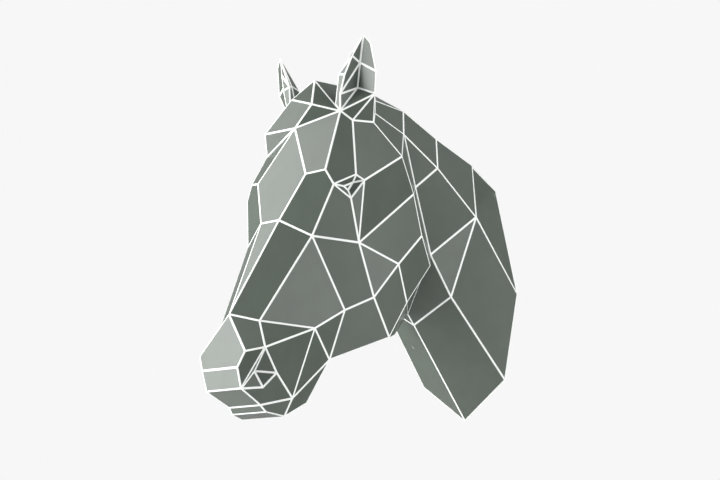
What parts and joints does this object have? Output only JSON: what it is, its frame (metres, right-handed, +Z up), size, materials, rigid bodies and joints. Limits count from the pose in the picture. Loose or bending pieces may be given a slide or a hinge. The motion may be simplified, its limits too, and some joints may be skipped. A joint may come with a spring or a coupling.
{
  "type": "faceted horse head wall sculpture",
  "caption": "Faceted horse's head and neck for hanging on a wall, with upright ears, a forelock swept aside, sunken eyes and nostrils and a flat back.",
  "frame": {"origin": "the point on the flat back, on the middle line, where a wall fixing holds the head", "axes": "+Z up along the wall, +Y into the wall, +X towards the horse's left; the horse looks along -Y"},
  "size_m": [0.212, 0.454, 0.5035],
  "materials": {
    "card": "grey-green print with a soft sheen and a narrow white margin along every fold"
  },
  "bodies": {
    "root": {"horse_head": "card"}
  },
  "joints": []
}
